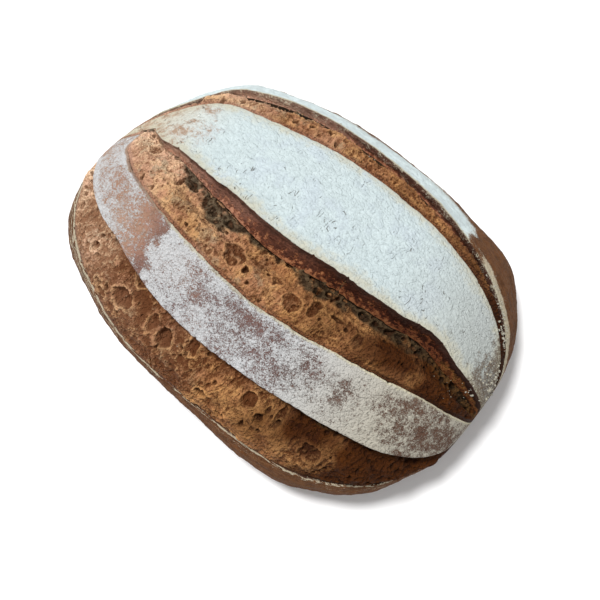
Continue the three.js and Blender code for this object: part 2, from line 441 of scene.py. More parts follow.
NICKS = {"far": 5, "centre": 9, "near": 8}  # how many notches each ear has
LIP_NICKS = {"far": 12, "centre": 3, "near": 4}
EDGE_CROWDING = 0.1  # how much closer the columns of a strip lie at its edges
EAR_DROP = 0.6  # how far an ear's skin rolls over at its edge
LIP_DROP = 0.5  # how far the skin rolls over at a lip
FACE_STEP = 0.25  # share of an ear face's height that is nearly upright, right under its edge
FACE_MARK = 0.06  # value of the face mark at an ear's edge, so that 0 is skin
HIDDEN_MARK = 2.0  # value of the face mark where no light reaches
FACE_COLUMNS, UNDER_COLUMNS, WALL_COLUMNS = 16, 4, 3


def face_rise(loaf, cut, share, t):
    """The rise of an ear's torn face, from its edge (0) to its foot in the crevice (1)."""
    top = cut.lift * loaf.lift - EAR_DROP
    fall = FACE_STEP * smoothstep(t, 0.0, 0.14) + (1 - FACE_STEP) * np.clip(t, 0, 1.3) ** 1.2
    return mix(top, -cut.depth * loaf.depth, fall) * loaf.taper(share) * cut.strength(share)


def face_texture(point, seed):
    """Relief of a torn and baked ear face: long lines along the tear, and soft lumps."""
    stretched = point * np.array([0.2, 1.0, 1.0])
    return 0.35 * grain(stretched, 2.2, seed, 2) + 1.0 * grain(point, 7, seed + 1, 3)


def torn_face(loaf, cut, share, ear, foot, columns, seed):
    """The torn face under an ear, from the ear's angle to the angle of its foot in the crevice."""
    t = steps(columns)[None, :]
    degrees = mix(ear, foot, t)
    taper = loaf.taper(share)
    lean = cut.lean * taper * cut.strength(share) * (1 - smoothstep(t, 0.0, 0.8))
    down = face_rise(loaf, cut, share, t) + loaf.bulge(share, degrees)
    under_edge = smoothstep(t, 0.0, 0.3) * taper
    down = down + face_texture(loaf.place(share, degrees, down), seed) * under_edge
    return loaf.place(share, degrees, down, lean)


def skin_texture(point, seed):
    """Relief of the floured skin, from broad lumps to its fine grain and the strokes along the loaf."""
    broad = 0.7 * grain(point, 30, seed, 2) + 0.3 * grain(point, 9, seed + 1, 2)
    strokes = grain(point * np.array([0.4, 1.0, 1.0]), 3.4, seed + 4, 2)
    return broad + 0.2 * grain(point, 2.6, seed + 2, 2) + 0.2 * strokes


def crust_strip(loaf, name, lip_of, ear_of, rows, skin_columns, seed):
    """A strip of skin from one cut's lip to the next cut's raised ear, with the ear's torn face."""
    near = CUTS[ear_of]
    share = loaf.rows(rows)[:, None]
    start, end = lip_angle(lip_of, share), ear_angle(ear_of, share)
    reach = smooth_line(near.face, share)
    base = end + reach * (near.angle(share, 1.0) - near.angle(share, 0.0))
    taper = loaf.taper(share)
    open_by = taper * near.strength(share)

    t = steps(skin_columns)[None, :]
    t = t - EDGE_CROWDING * np.sin(2 * math.pi * t)
    degrees = mix(start, end, t)
    rise, slide = loaf.skin(share, degrees)
    plain = loaf.place(share, degrees, rise * 0)
    from_lip = gap(plain, plain[:, 0])
    from_ear = gap(plain, loaf.place(share, end, rise[:, :1] * 0)[:, 0])
    rise = rise + skin_texture(plain, seed) * taper
    rise = rise - EAR_DROP * np.clip(1 - from_ear / 1.1, 0, 1) ** 2 * open_by
    rise = rise - LIP_DROP * np.clip(1 - from_lip / 0.9, 0, 1) ** 2 * taper
    skin = loaf.place(share, degrees, rise, slide)

    face = torn_face(loaf, near, share, end, base, FACE_COLUMNS, seed + 7)
    t = steps(UNDER_COLUMNS)[None, :]
    hidden_from = face_rise(loaf, near, share, 1.0) - 0.5 * taper
    hidden = mix(hidden_from, -4.0 * taper, smoothstep(t, 0, 1)) - 3.0 * taper * smoothstep(t, 0.0, 0.3)
    hidden = hidden + loaf.bulge(share, mix(base, start, t))
    under = loaf.place(share, mix(base, start + 1.0, t), hidden)

    t = steps(WALL_COLUMNS)[None, :]
    down = mix(-7.0, -LIP_DROP, t) * taper + loaf.bulge(share, start)
    wall = loaf.place(share, start + mix(1.0, 0.0, t), down)

    grid = np.concatenate([skin, face, under, wall], 1)
    on_face, on_under, on_wall = (np.zeros((rows + 1, part.shape[1])) for part in (face, under, wall))
    face_mark = [on_face + steps(FACE_COLUMNS) + FACE_MARK, on_under + HIDDEN_MARK, on_wall + 1]
    values = {
        "from_ear": np.concatenate([from_ear, on_face, on_under, on_wall], 1),
        "from_lip": np.concatenate([from_lip, on_face, on_under, on_wall], 1),
        "face": np.concatenate([from_ear * 0, *face_mark], 1),
    }
    return add_tube(name, grid, values)


# Bubbles: share of the half length, share across the cut from its ear, half sizes along and across, depth.
BUBBLES = {
    "centre": (
        (-0.78, 0.36, 3.8, 4.6, 3.2),
        (-0.86, 0.2, 1.3, 1.3, 2.0),
        (-0.58, 0.46, 1.7, 4.2, 2.0),
        (-0.42, 0.84, 1.5, 1.3, 2.4),
        (-0.28, 0.47, 1.1, 1.0, 1.4),
        (-0.19, 0.65, 7.2, 7.6, 3.4),
        (-0.11, 0.73, 2.0, 2.2, 3.0),
        (0.12, 0.72, 5.4, 5.0, 2.6),
        (0.205, 0.62, 3.2, 6.6, 2.4),
        (0.30, 0.59, 4.4, 1.9, 3.0),
        (0.02, 0.56, 3.4, 3.2, 1.2),
        (0.42, 0.7, 3.2, 5.0, 1.2),
    ),
    "near": (
        (-0.70, 0.5, 2.2, 3.6, 2.6),
        (-0.60, 0.72, 2.2, 1.5, 2.2),
        (-0.56, 0.74, 4.4, 2.4, 2.8),
        (-0.45, 0.18, 5.4, 5.0, 3.0),
        (-0.465, 0.5, 7.0, 5.4, 3.2),
        (-0.36, 0.22, 2.2, 1.9, 2.6),
        (-0.22, 0.44, 5.4, 5.6, 4.2),
        (-0.30, 0.4, 3.2, 6.4, 1.8),
        (0.037, 0.7, 4.6, 2.6, 4.6),
        (0.096, 0.1, 3.8, 2.8, 3.2),
        (0.22, 0.07, 5.6, 2.6, 4.6),
        (0.217, 0.42, 5.4, 5.6, 2.6),
        (0.29, 0.51, 2.8, 2.6, 3.4),
        (0.54, 0.57, 6.6, 5.4, 2.0),
        (0.15, 0.76, 3.2, 1.4, 1.8),
        (-0.10, 0.3, 4.4, 6.6, 1.8),
        (0.36, 0.4, 2.6, 8.0, 1.5),
    ),
    "far": (
        (-0.38, 0.3, 10.0, 2.6, 3.6),
        (-0.21, 0.6, 3.0, 2.0, 1.8),
        (-0.29, 0.7, 2.4, 1.6, 1.4),
        (-0.1, 0.36, 3.0, 1.6, 1.4),
        (0.21, 0.4, 3.4, 1.6, 1.4),
        (0.33, 0.35, 2.6, 1.8, 1.6),
        (0.5, 0.58, 3.0, 2.4, 1.8),
    ),
}


def carve(relief, marks, warp, u, v, bubble, rim):
    """Sinks one bubble into the relief, and marks its hollow for painted shade, its raw floor and its thin
    raised rim.
    """
    u0, v0, ru, rv, depth = bubble
    rows = np.flatnonzero(np.abs(u[:, 0] - u0) < 1.8 * ru)
    if not len(rows):
        return
    block = slice(rows[0], rows[-1] + 1)
    du, dv = (u[block] - u0) / ru, (v[block] - v0) / rv
    small = math.sqrt(ru * rv) < PORE_BELOW
    shift = warp["fine"] if small else warp["coarse"]
    d = np.hypot(du + 0.3 * shift[0][block], dv + 0.3 * shift[1][block])
    inside = np.clip(1 - d * d, 0, 1) ** 0.55
    ring = np.exp(-(((d - 1.06) * max(min(ru, rv), 1.5) / 0.55) ** 2))
    ring = ring * np.clip(0.6 + 0.9 * warp["fine"][0][block], 0, 1)
    # Painted shade: how dark the hollow is coloured, from its depth for its size; a large bubble gets only a
    # little.
    hollow = np.clip((depth / min(ru, rv) - 0.45) / 1.2, 0.0, 1)
    sink = depth * inside * (1 + 0.25 * warp["fine"][1][block])
    relief[block] += rim * ring - sink - relief[block] * 0.15 * inside
    shade = hollow * inside if small else hollow * inside * 0.35
    marks["pit"][block] = np.maximum(marks["pit"][block], shade)
    marks["rim"][block] = np.maximum(marks["rim"][block], ring * min(1.0, rim * 2.4))
    if not small:
        marks["raw"][block] = np.maximum(marks["raw"][block], inside)


# A bubble smaller than this has its hollow painted dark as shade.
PORE_BELOW = 2.6  # a bubble smaller than this has a dark hollow and no raw floor


def crumb_relief(loaf, name, share, across, point, lip_line, seed):
    """Relief of torn crumb and its marks: bubbles, pores, holes in the crevice, fibres across the tear."""
    cut = CUTS[name]
    u = loaf.half_length * share + 0 * across
    v = run_across(point)
    begin, last = across[:, :1], across[:, -1:]
    width = v[:, -1:] / (last - begin)
    v = v + begin * width
    reach = smooth_line(cut.face, share)
    marks = {"pit": np.zeros_like(v), "rim": np.zeros_like(v), "raw": np.zeros_like(v)}
    warp = {
        "fine": [grain(point, 1.8, seed + 11 + k, 1) for k in (0, 1)],
        "coarse": [grain(point, 4.5, seed + 13 + k, 2) for k in (0, 1)],
    }
    random = np.random.default_rng(seed)

    to_lip = gap(point, lip_line)
    lip = smoothstep(to_lip + 0.5 * warp["coarse"][1], LIP_BAND + 0.7, LIP_BAND - 0.9)
    along = thread(loaf.half_length * share, seed)
    uneven = np.clip(1 + 1.1 * grain(along, 24, seed + 8, 2), 0.5, 1.7)
    crevice_width = smooth_line(cut.crevice, share) * uneven
    floor_end = reach * width + crevice_width
    crevice = 1 - smoothstep(v + 3.5 * warp["coarse"][0], floor_end - 1.5, floor_end + 2.5)
    torn = (1 - 0.92 * lip) * np.minimum(1, loaf.taper(share) * 1.5)

    slant = u + 0.25 * v + 1.6 * warp["coarse"][0]
    fine = np.stack([slant / 1.2, (v + warp["coarse"][1]) / 2.6, point[..., 2] / 4], -1)
    coarse = np.stack([slant / 3.4, (v + warp["coarse"][1]) / 6.0, point[..., 2] / 8], -1)
    fibres = 1 - 2.2 * np.abs(grain(fine, 1.0, seed + 1, 2))
    strands = 1 - 2.2 * np.abs(grain(coarse, 1.0, seed + 2, 2))
    lumps = grain(point, 13, seed + 3, 2)
    rough = grain(point, 1.3, seed + 4, 1)
    sponge = np.abs(grain(point * np.array([0.8, 1, 1]), 4.6, seed + 5, 3))
    relief = 2.6 * lumps + (0.7 * strands + 0.55 * fibres) * (1 - 0.6 * crevice) + 0.36 * rough
    relief = relief + crevice * (1.0 - 5.5 * sponge)

    for at, side, ru, rv, depth in BUBBLES[name]:
        row = np.argmin(np.abs(share[:, 0] - at))
        bubble = (loaf.half_length * at, width[row, 0] * side, ru, rv, depth * BUBBLE_DEEPENING)
        carve(relief, marks, warp, u, v, bubble, BUBBLE_RIM)
    for _ in range(PORES[name]):
        at = random.uniform(-0.97, 0.97)
        size = 0.35 + 1.5 * random.random() ** 6
        row = np.argmin(np.abs(share[:, 0] - at))
        side = random.uniform(0.15, 0.93)
        long = size * random.uniform(0.7, 1.7)
        spot = (loaf.half_length * at, width[row, 0] * side, size, long, size * random.uniform(0.8, 1.6))
        carve(relief, marks, warp, u, v, spot, PORE_RIM)
    for _ in range(HOLES[name]):
        at = random.uniform(-0.85, 0.93)
        size = 0.6 + 1.8 * random.random() ** 3
        row = np.argmin(np.abs(share[:, 0] - at))
        side = reach[row, 0] * width[row, 0] + random.uniform(0.0, 1.0) * crevice_width[row, 0]
        spot = (loaf.half_length * at, side, size * random.uniform(0.9, 1.8), size, size * 2.4)
        carve(relief, marks, warp, u, v, spot, HOLE_RIM)
    marks["crevice"] = crevice
    marks["lip"] = lip
    return relief * torn, marks


PORES = {"far": 220, "centre": 380, "near": 460}  # small round openings all over the crumb
HOLES = {"far": 22, "centre": 60, "near": 46}  # deep openings in the crevice
BUBBLE_RIM, PORE_RIM, HOLE_RIM = 0.9, 0.22, 0.3  # how far their rims stand up
BUBBLE_DEEPENING = 1.45
CROWN_AT = 0.62  # share across a cut at which its crumb stands highest
LIP_BAND = 2.2  # width of the smooth band of skin next to a cut's lip
CRUMB_SINK = 4.2  # how far below the crevice's depth a bubble may reach
CRUMB_ROWS = 800


def crumb_piece(loaf, name, rows, columns, seed):
    """The torn crumb that fills a cut, from under its ear's face to under its lip."""
    cut = CUTS[name]
    share = loaf.rows(rows)[:, None]
    taper = loaf.taper(share) * cut.strength(share)
    along = thread(loaf.half_length * share, seed)
    reach = smooth_line(cut.face, share)
    fray = reach * (1 + 0.35 * grain(along, 7.0, seed + 21, 3) + 0.07 * grain(along, 1.6, seed + 22, 1))
    begin = np.maximum(reach - 0.2, -0.04)
    last = 1.04  # just past the lip, under its skin
    t = steps(columns)[None, :]
    across = mix(begin, last, t)
    degrees = cut.angle(share, across)

    level = loaf.place(share, degrees, loaf.bulge(share, degrees))
    width = run_across(level)[:, -1:] / (across[:, -1:] - begin)
    crevice = smooth_line(cut.crevice, share)
    bottom = reach + crevice / np.maximum(width, crevice * 2.2)
    low = -(cut.depth + 0.6) * loaf.depth
    under_face = np.clip(across / np.maximum(fray, 0.02), 0, 1)
    on_face = face_rise(loaf, cut, share, under_face) / np.maximum(taper, 0.001) - 1.5
    climb = mix(low, cut.crown, smoothstep(across, bottom - 0.05, CROWN_AT))
    fall = mix(cut.crown, -0.9, smoothstep(across, CROWN_AT + 0.1, 1.0))
    fall = fall - 2.5 * smoothstep(across, 1.0, last)
    floor = np.where(across < CROWN_AT, climb, fall)
    floor = mix(on_face, floor, smoothstep(across, fray - 0.015, fray + 0.03)) * taper
    plain = loaf.bulge(share, degrees) + floor
    lip = lip_angle(name, share)
    lip_line = loaf.place(share, lip, loaf.bulge(share, lip))[:, 0]
    point = loaf.place(share, degrees, plain)
    relief, marks = crumb_relief(loaf, name, share, across, point, lip_line, seed)
    clear = 0.15 + 0.85 * smoothstep(across, fray - 0.05, fray + 0.02)
    deepest = loaf.bulge(share, degrees) - (cut.depth + CRUMB_SINK) * loaf.taper(share)
    top = loaf.place(share, degrees, np.maximum(plain + relief * clear, deepest))

    t = steps(UNDER_COLUMNS)[None, :]
    under_degrees = cut.angle(share, mix(last, begin, t))
    deep = -(cut.depth + 5.0) * loaf.taper(share) * smoothstep(t, -0.3, 0.25)
    under = loaf.place(share, under_degrees, deep + loaf.bulge(share, under_degrees))
    # crest and lump are the relief's local and broad height; the crumb's colour uses them as painted light
    # on its crests and painted shade in its hollows.
    marks["crest"] = np.clip(relief - blurred(relief, 5, 6), -0.7, 0.9)
    marks["lump"] = blurred(np.clip(relief, -1.6, 3.0), 3, 4)
    hidden = np.zeros((rows + 1, UNDER_COLUMNS))
    values = {key: np.concatenate([mark, hidden], 1) for key, mark in marks.items()}
    grid = np.concatenate([top, under], 1)
    return add_tube(f"crumb_{name}", grid, values)


def body_piece(loaf, rows, seed):
    """The rest of the loaf: both rims, the flanks, the flat underside, and a hidden core under the cuts."""
    far = CUTS["far"]
    share = loaf.rows(rows)[:, None]
    taper = loaf.taper(share)
    lip, ear = lip_angle("near", share), ear_angle("far", share)
    reach = smooth_line(far.face, share) * (far.angle(share, 1.0) - far.angle(share, 0.0))
    counts = {"rim": 40, "flank": 40, "underside": 24, "far_rim": 64, "face": 14, "core": 8, "wall": 4}

    def skin(degrees, from_edge):
        rise, slide = loaf.skin(share, degrees)
        point = loaf.place(share, degrees, rise * 0)
        clear = smoothstep(point[..., 2], 1.0, 13.0)
        rough = skin_texture(point, seed) + flank_texture(point, seed + 3)
        rise = (rise + rough * np.minimum(1, taper * 1.5)) * clear
        rise = rise - LIP_DROP * np.clip(1 - from_edge / 0.9, 0, 1) ** 2 * taper
        return loaf.place(share, degrees, rise, slide)

    t = steps(counts["rim"])[None, :]
    degrees = mix(lip, 180.0, t)
    rim_line = loaf.place(share, lip, lip * 0)[:, 0]
    near_edge = gap(loaf.place(share, degrees, degrees * 0), rim_line)
    near_rim = skin(degrees, near_edge)
    t = steps(counts["flank"])[None, :]
    near_flank = skin(mix(180.0, 270.0, t) + 0 * share, t * 0 + FAR_AWAY)
    t = steps(counts["underside"])[None, :]
    near_foot = loaf.place(share, np.full_like(share, 270.0), share * 0)
    far_foot = loaf.place(share, np.full_like(share, -90.0), share * 0)
    underside = mix(near_foot, far_foot, t[..., None])
    t = steps(counts["flank"])[None, :]
    far_flank = skin(mix(-90.0, 0.0, t) + 0 * share, t * 0 + FAR_AWAY)
    t = steps(counts["far_rim"])[None, :]
    degrees = mix(0.0, ear, t)
    ear_line = loaf.place(share, ear, ear * 0)[:, 0]
    far_edge = gap(loaf.place(share, degrees, degrees * 0), ear_line)
    far_rim = skin(degrees, far_edge)

    face = torn_face(loaf, far, share, ear, ear + reach, counts["face"], seed + 7)
    t = steps(counts["core"])[None, :]
    deep = -far.depth - CORE_SINK * smoothstep(t, 0, 0.4)
    core = loaf.place(share, mix(ear + reach, lip - 1.0, t), deep * taper)
    t = steps(counts["wall"])[None, :]
    wall = loaf.place(share, lip - mix(1.0, 0.0, t), mix(-5.0 - CORE_SINK, -LIP_DROP, t) * taper)

    grid = np.concatenate([near_rim, near_flank, underside, far_flank, far_rim, face, core, wall], 1)

    def laid_out(**known):
        parts = [known.get(key, known["rest"]) for key in ZONES]
        sizes = [counts[key.replace("near_", "").replace("far_flank", "flank")] for key in ZONES]
        return np.concatenate([np.broadcast_to(p, (rows + 1, n)) for p, n in zip(parts, sizes)], 1)

    face_mark = steps(counts["face"])[None, :] + FACE_MARK
    values = {
        "near_edge": laid_out(rest=FAR_AWAY, near_rim=near_edge),
        "far_edge": laid_out(rest=FAR_AWAY, far_rim=far_edge, face=0.0),
        "face": laid_out(rest=0.0, face=face_mark, core=HIDDEN_MARK, wall=1.0),
        "base": laid_out(rest=0.0, underside=1.0),
    }
    return add_tube("loaf_body", grid, values)


ZONES = ("near_rim", "near_flank", "underside", "far_flank", "far_rim", "face", "core", "wall")
FAR_AWAY = 50.0  # stands for any distance past which an edge has no say
CORE_SINK = 12.0  # how far below the cuts the hidden core lies


def flank_texture(point, seed):
    """Relief of the bare flank: long soft wrinkles, and small blisters under the skin."""
    wrinkles = grain(point * np.array([0.2, 0.6, 1.0]), 4.0, seed, 3)
    blisters = np.clip(grain(point, 5.0, seed + 1, 1) - 0.4, 0, 1)
    return 0.6 * wrinkles + 0.7 * blisters


# Loose flour: share of the half length, angle, spread in millimetres along and round, grains, largest size.
FLOUR_HEAPS = (
    (0.94, 72, 3.0, 6.0, 50, 2.2),
    (0.90, 84, 3.0, 3.0, 20, 1.6),
    (0.955, 64, 2.5, 5.0, 40, 1.9),
    (0.88, 52, 4.0, 1.2, 60, 1.7),
    (0.80, 48, 6.0, 1.2, 70, 1.5),
    (0.70, 45, 9.0, 1.4, 60, 1.2),
    (0.84, 92, 2.0, 5.0, 16, 0.9),
    (-0.08, 35, 24.0, 1.6, 44, 1.0),
    (0.3, 39, 30.0, 2.4, 34, 0.8),
    (0.0, 90, 90.0, 60.0, 40, 0.5),
)


DROP_FROM = 20.0  # height above the loaf from which a clump falls
LAST_CLUMP = 0.985  # share of the half length past which none lies


def flour_clumps(loaf, pieces, seed):
    """Lumps and grains of loose flour, dropped on the pieces that are there."""
    random = np.random.default_rng(seed)
    deselect_all()
    bpy.ops.mesh.primitive_ico_sphere_add(subdivisions=2, radius=1.0)
    piece = bpy.context.active_object
    piece.name = "flour_clumps"
    ball = np.array([v.co for v in piece.data.vertices])
    faces = np.array([p.vertices for p in piece.data.polygons])
    graph = bpy.context.evaluated_depsgraph_get()
    trees = [BVHTree.FromObject(other, graph) for other in pieces]
    points, polygons = [], []
    for along, angle, spread_along, spread_round, count, largest in FLOUR_HEAPS:
        for _ in range(count):
            share = along + random.normal() * spread_along / loaf.half_length
            degrees = angle + random.normal() * spread_round / 1.6
            size = largest * (0.25 + 0.75 * random.random() ** 2.2) / 2
            turn = Matrix.Rotation(random.uniform(0, math.tau), 3, "Z")
            turn = turn @ Matrix.Rotation(random.uniform(0, 3), 3, "X")
            shape = ball * (1 + 0.5 * grain(ball * 1.5 + 50 * random.random(), 1.0, 5, 1))[:, None]
            shape = shape * random.uniform((0.8, 0.7, 0.5), (1.3, 1.1, 0.9))
            shape = shape @ np.array(turn) * size
            if abs(share) > LAST_CLUMP:
                continue
            spot = loaf.place(np.array([share]), np.array([degrees]), np.array([DROP_FROM]))[0]
            out = loaf.directions(np.array([share]), np.array([degrees]))[0][0]
            hits = [tree.ray_cast(Vector(spot * MM), Vector(-out), 2.5 * DROP_FROM * MM) for tree in trees]
            hits = [hit for hit in hits if hit[0] is not None]
            if not hits:
                continue
            place = np.array(min(hits, key=lambda hit: hit[3])[0]) / MM + out * size * 0.3
            polygons.append(faces + len(points) * len(ball))
            points.append(shape + place)
    mesh = bpy.data.meshes.new("flour_clumps")
    mesh.from_pydata(np.concatenate(points) * MM, [], np.concatenate(polygons).tolist())
    piece.data = mesh
    bpy.ops.object.shade_smooth()
    return piece


# ---------------------------------------------------------------- materials


class Wire:
    """One output of a material's node, on which sums are written as in Python."""

    def __init__(self, kit, socket):
        self.kit = kit
        self.socket = socket

    def math(self, operation, *values, clamp=False):
        return self.kit.node("Math", {"operation": operation, "use_clamp": clamp}, dict(enumerate(values)))

    def __add__(self, other):
        return self.math("ADD", self, other)

    def __sub__(self, other):
        return self.math("SUBTRACT", self, other)

    def __rsub__(self, other):
        return self.math("SUBTRACT", other, self)

    def __mul__(self, other):
        return self.math("MULTIPLY", self, other)

    def __truediv__(self, other):
        return self.math("DIVIDE", self, other)

    def __pow__(self, other):
        return self.math("POWER", self, other)

    __radd__ = __add__
    __rmul__ = __mul__

    def clamped(self):
        return self.math("ADD", self, 0.0, clamp=True)

    def largest(self, other):
        return self.math("MAXIMUM", self, other)

    def least(self, other):
        return self.math("MINIMUM", self, other)

    def apart(self, level):
        """How far the value is from a level, either way."""
        return self.math("ABSOLUTE", self - level)

    def between(self, low, high):
        """0 at low and 1 at high, with soft ends. Low may be the larger."""
        values = {"Value": self, "From Min": low, "From Max": high, "To Min": 0.0, "To Max": 1.0}
        return self.kit.node("MapRange", {"interpolation_type": "SMOOTHSTEP"}, values)


class Kit:
    """The nodes of one material."""

    def __init__(self, name):
        self.material = bpy.data.materials.new(name)
        self.material.use_nodes = True
        self.tree = self.material.node_tree
        self.shader = next(n for n in self.tree.nodes if n.type == "BSDF_PRINCIPLED")
        self.place = self.node("TexCoord", {}, {}, "Object")

    def node(self, kind, settings, values, output=0):
        made = self.tree.nodes.new("ShaderNode" + kind)
        for key, value in settings.items():
            if key == "stops":
                self.set_stops(made.color_ramp, value)
            else:
                setattr(made, key, value)
        for key, value in values.items():
            self.set(made.inputs[key], value)
        return Wire(self, made.outputs[output])

    def set_stops(self, ramp, stops):
        while len(ramp.elements) < len(stops):
            ramp.elements.new(1.0)
        for element, (position, shade) in zip(ramp.elements, stops):
            element.position = position
            element.color = colour(shade)

    def stages(self, position, shades):
        """A colour that passes through evenly spaced shades as position goes from 0 to 1."""
        stops = [(i / (len(shades) - 1), shade) for i, shade in enumerate(shades)]
        return self.node("ValToRGB", {"stops": stops}, {"Fac": position}, "Color")

    def set(self, socket, value):
        if isinstance(value, Wire):
            self.tree.links.new(value.socket, socket)
        else:
            socket.default_value = value

    def attribute(self, name):
        return self.node("Attribute", {"attribute_name": name}, {}, "Fac")

    def stretched(self, scale, location=(0, 0, 0), rotation=(0, 0, 0)):
        values = {"Vector": self.place, "Scale": scale, "Location": location, "Rotation": rotation}
        return self.node("Mapping", {}, values)

    def noise(self, size_mm, detail=3.0, roughness=0.5, distortion=0.0, vector=None):
        """Noise from 0 to 1 around 0.5, whose blobs are about size_mm across."""
        values = {
            "Vector": vector or self.place,
            "Scale": 1 / (size_mm * MM),
            "Detail": detail,
            "Roughness": roughness,
            "Distortion": distortion,
        }
        return self.node("TexNoise", {"noise_dimensions": "3D"}, values, "Fac")

    def blend(self, factor, low, high, mode="MIX"):
        settings = {"data_type": "RGBA", "blend_type": mode}
        return self.node("Mix", settings, {0: factor, 6: colour(low), 7: colour(high)}, 2)

    def finish(self, base, roughness, height, distance_mm=1.0, strength=1.0):
        self.set(self.shader.inputs["Base Color"], base)
        self.set(self.shader.inputs["Roughness"], roughness)
        values = {"Height": height, "Distance": distance_mm * MM, "Strength": strength}
        self.set(self.shader.inputs["Normal"], self.node("Bump", {}, values, "Normal"))
        self.shader.inputs["Specular IOR Level"].default_value = 0.12
        return self.material


def colour(value):
    return value if isinstance(value, Wire) else (*value, 1.0)


# Six evenly spaced colours each, from the pale tapered end of the loaf to its dark blunt end.
CRUMB_LIGHT = (
    (0.88, 0.62, 0.41), (0.72, 0.45, 0.25), (0.55, 0.30, 0.132),
    (0.57, 0.29, 0.11), (0.075, 0.021, 0.0016), (0.075, 0.020, 0.0007),
)
CRUMB_DEEP = (
    (0.31, 0.165, 0.092), (0.20, 0.088, 0.043), (0.12, 0.042, 0.0148),
    (0.105, 0.034, 0.0095), (0.026, 0.0055, 0.0004), (0.022, 0.005, 0.0002),
)
CRUMB_PINK = (
    (0.63, 0.36, 0.25), (0.48, 0.24, 0.155), (0.38, 0.165, 0.09),
    (0.30, 0.12, 0.05), (0.055, 0.015, 0.002), (0.04, 0.010, 0.0006),
)
CRUMB_RAW = (
    (0.44, 0.38, 0.265), (0.36, 0.30, 0.20), (0.28, 0.22, 0.135),
    (0.21, 0.16, 0.09), (0.09, 0.06, 0.022), (0.035, 0.017, 0.003),
)
EAR_FACE = (
    (0.35, 0.21, 0.145), (0.19, 0.097, 0.066), (0.078, 0.029, 0.0175),
    (0.037, 0.010, 0.0045), (0.011, 0.0016, 0.0003), (0.008, 0.0011, 0.0002),
)
EAR_SPOT = (
    (0.50, 0.32, 0.23), (0.33, 0.17, 0.125), (0.155, 0.062, 0.039),
    (0.08, 0.0245, 0.0105), (0.026, 0.0045, 0.0007), (0.018, 0.003, 0.0004),
)
THIN_SKIN = (
    (0.36, 0.205, 0.125), (0.33, 0.185, 0.12), (0.16, 0.085, 0.072),
    (0.13, 0.072, 0.062), (0.10, 0.055, 0.034), (0.07, 0.035, 0.02),
)
SCORE_TURN = 0.5  # how far the flour's strokes and hairline cracks are turned, in radians
TEAR_TURN = 0.2  # how far the crumb's fibres are turned
FLOUR_COOL = (0.56, 0.645, 0.655)
FLOUR_SHADE = (0.43, 0.50, 0.51)
FLOUR_CREAM = (0.48, 0.45, 0.335)
FLOUR_GREY = (0.34, 0.34, 0.31)
FLOUR_BLUE = (0.48, 0.54, 0.62)
FLOUR_WARM = (0.55, 0.47, 0.34)
# painted shade for the flour towards the blunt end, as if less light fell there
FLOUR_END_SHADE = (0.38, 0.39, 0.36)
FLOUR_THIN = ((0.42, 0.425, 0.43), (0.61, 0.62, 0.625))
FLOUR_STALE = (0.43, 0.395, 0.31)
FLOUR_RIM = (0.60, 0.55, 0.40)
FLOUR_FLANK = (0.46, 0.40, 0.29)
FLOUR_BRIGHT = (0.66, 0.76, 0.77)
FLOUR_LUMP = ((0.26, 0.23, 0.17), (0.50, 0.48, 0.41))
# near black painted shade, for holes and pores, the crevice, the lip band and the hidden parts under the
# ears
HOLE_SHADE = (0.022, 0.013, 0.006)
# painted shade right under an ear's overhanging edge
EAR_EDGE_SHADE = (0.05, 0.024, 0.016)
GOLDEN_EAR = ((0.10, 0.036, 0.008), (0.24, 0.105, 0.028))
TOASTED_RAG = (0.15, 0.042, 0.016)
WIDE_SKIN = ((0.44, 0.31, 0.21), (0.32, 0.20, 0.125))
WIDE_SKIN_DARK = (0.11, 0.07, 0.04)
CRACK = (0.12, 0.095, 0.07)
BARE_LIP = (0.25, 0.14, 0.09)
NARROW_SKIN_DARK = (0.12, 0.062, 0.042)
# painted shadow in the gaps between the crevice's strands
WEB_GAP_SHADE = (0.025, 0.016, 0.008)
WEB_DARK = (0.12, 0.055, 0.015)
FLANK = ((0.062, 0.022, 0.007), (0.14, 0.053, 0.019))
FLANK_SPECKLE = (0.26, 0.135, 0.065)
FLANK_STREAK = (0.21, 0.10, 0.04)
FLANK_FOOT = (0.10, 0.048, 0.022)
FLANK_BAKED = (0.10, 0.045, 0.018)
SOLE = ((0.13, 0.065, 0.03), (0.28, 0.175, 0.09))
SOLE_FLOUR = (0.5, 0.45, 0.35)


def along_loaf(kit):
    """The place along the loaf, from -1 at its tapered end to 1 at its blunt end."""
    return kit.node("SeparateXYZ", {}, {0: kit.place}, 0) / (LOAF_SIZE.x / 2)


def toast(kit):
    """How far the loaf has browned, from 0 at its tapered end to 1 at its blunt end, unevenly."""
    return (along_loaf(kit) * 0.5 + 0.5 + (kit.noise(35, 2) - 0.5) * 0.7).clamped()


